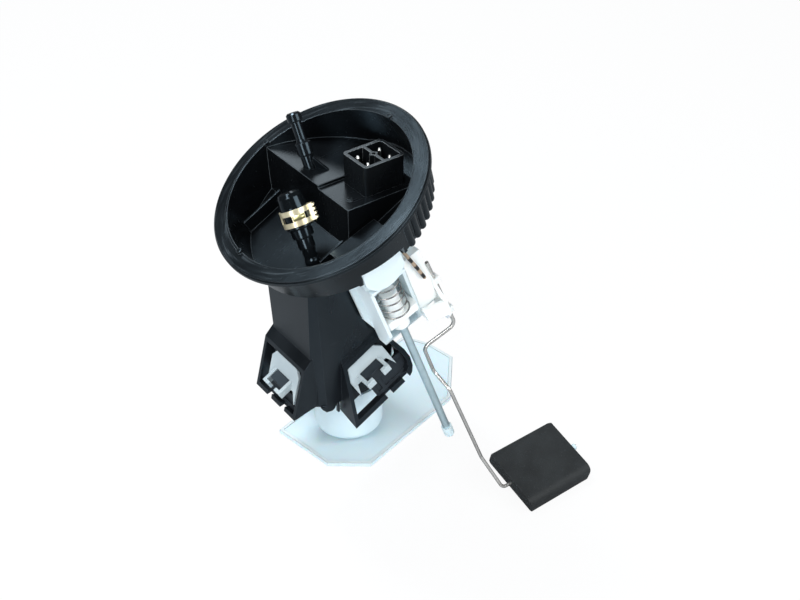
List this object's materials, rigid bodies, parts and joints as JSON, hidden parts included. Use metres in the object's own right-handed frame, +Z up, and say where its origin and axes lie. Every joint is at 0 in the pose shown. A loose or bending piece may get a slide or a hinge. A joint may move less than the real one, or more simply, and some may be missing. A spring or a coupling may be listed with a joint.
{
  "type": "fuel pump module",
  "caption": "In-tank fuel pump module: round tilted flange cup over a tapered housing with the pump, a strainer underneath and a level sender with a swinging float.",
  "frame": {"origin": "centre of the top face of the flange rim", "axes": "+Z up along the pump; +X towards the high side of the tilted flange, where the connector is; the level sender hangs on the -Y side"},
  "size_m": [0.2238, 0.1622, 0.285],
  "materials": {
    "black_plastic": "satin black moulded polymer",
    "gloss_black": "glossy black moulded cap",
    "dark_grey_plastic": "dark grey moulded polymer",
    "white_plastic": "natural white acetal",
    "clear_white": "milky translucent white polymer",
    "strainer_mesh": "fine pale woven polymer mesh",
    "brass": "bright stamped brass",
    "tin": "tin plated contact",
    "zinc_steel": "zinc plated steel",
    "spring_steel": "drawn spring steel wire",
    "ferrite": "sintered ferrite magnet",
    "copper_steel": "laminated steel with copper windings",
    "cast_aluminium": "machined aluminium plate",
    "ceramic": "thick film resistor card",
    "black_rubber": "black fuel hose rubber",
    "float_foam": "dense dark closed-cell foam"
  },
  "bodies": {
    "module": {"clip_front": "white_plastic", "clip_left": "white_plastic", "clip_rear": "white_plastic", "connector_shell": "black_plastic", "flange_cup": "black_plastic", "hose_clamp": "brass", "hose_clips": "spring_steel", "housing_tower": "black_plastic", "inner_hose": "black_rubber", "magnets": "ferrite", "pivot_pin": "spring_steel", "plunger_spring": "spring_steel", "pump_can": "zinc_steel", "pump_carrier": "dark_grey_plastic", "pump_casing": "cast_aluminium", "pump_end_cap": "dark_grey_plastic", "pump_sleeve": "clear_white", "pump_tabs": "tin", "resistor_plate": "ceramic", "return_nipple": "black_plastic", "sender_body": "white_plastic", "sender_bracket": "white_plastic", "sender_lead": "black_rubber", "sender_tab": "clear_white", "strainer_mesh": "strainer_mesh", "strainer_neck": "white_plastic", "supply_cap": "gloss_black", "supply_nipple": "black_plastic", "terminal_pins": "tin"},
    "rotor": {"armature": "copper_steel", "impeller": "dark_grey_plastic"},
    "outlet_poppet": {"check_valve": "brass"},
    "plunger": {"plunger_post": "white_plastic", "guide_rod": "zinc_steel", "rod_foot": "clear_white"},
    "float_arm": {"lever": "white_plastic", "arm_wire": "spring_steel"},
    "float": {"float_block": "float_foam", "float_retainer": "clear_white"}
  },
  "joints": [
    {"name": "rotor_spin", "type": "hinge", "parent": "module", "child": "rotor", "pos_m": [0.014, -0.002, -0.132], "axis": [0, 0, 1], "continuous": true},
    {"name": "poppet_lift", "type": "slide", "parent": "module", "child": "outlet_poppet", "axis": [0, 0, 1], "range_m": [0, 0.0015]},
    {"name": "plunger_slide", "type": "slide", "parent": "module", "child": "plunger", "axis": [-0.342, 0, 0.9397], "range_m": [0, 0.011], "stiffness_N_per_m": 150, "springref_m": -0.02, "deforming": ["plunger_spring"]},
    {"name": "float_arm_swing", "type": "hinge", "parent": "module", "child": "float_arm", "pos_m": [0.04649, -0.0346, -0.05757], "axis": [-0.9397, 0, -0.342], "range_deg": [0, 75]},
    {"name": "float_tilt", "type": "hinge", "parent": "float_arm", "child": "float", "pos_m": [0.1001, -0.071, -0.243], "axis": [1, 0, 0], "range_deg": [-75, 75]}
  ]
}
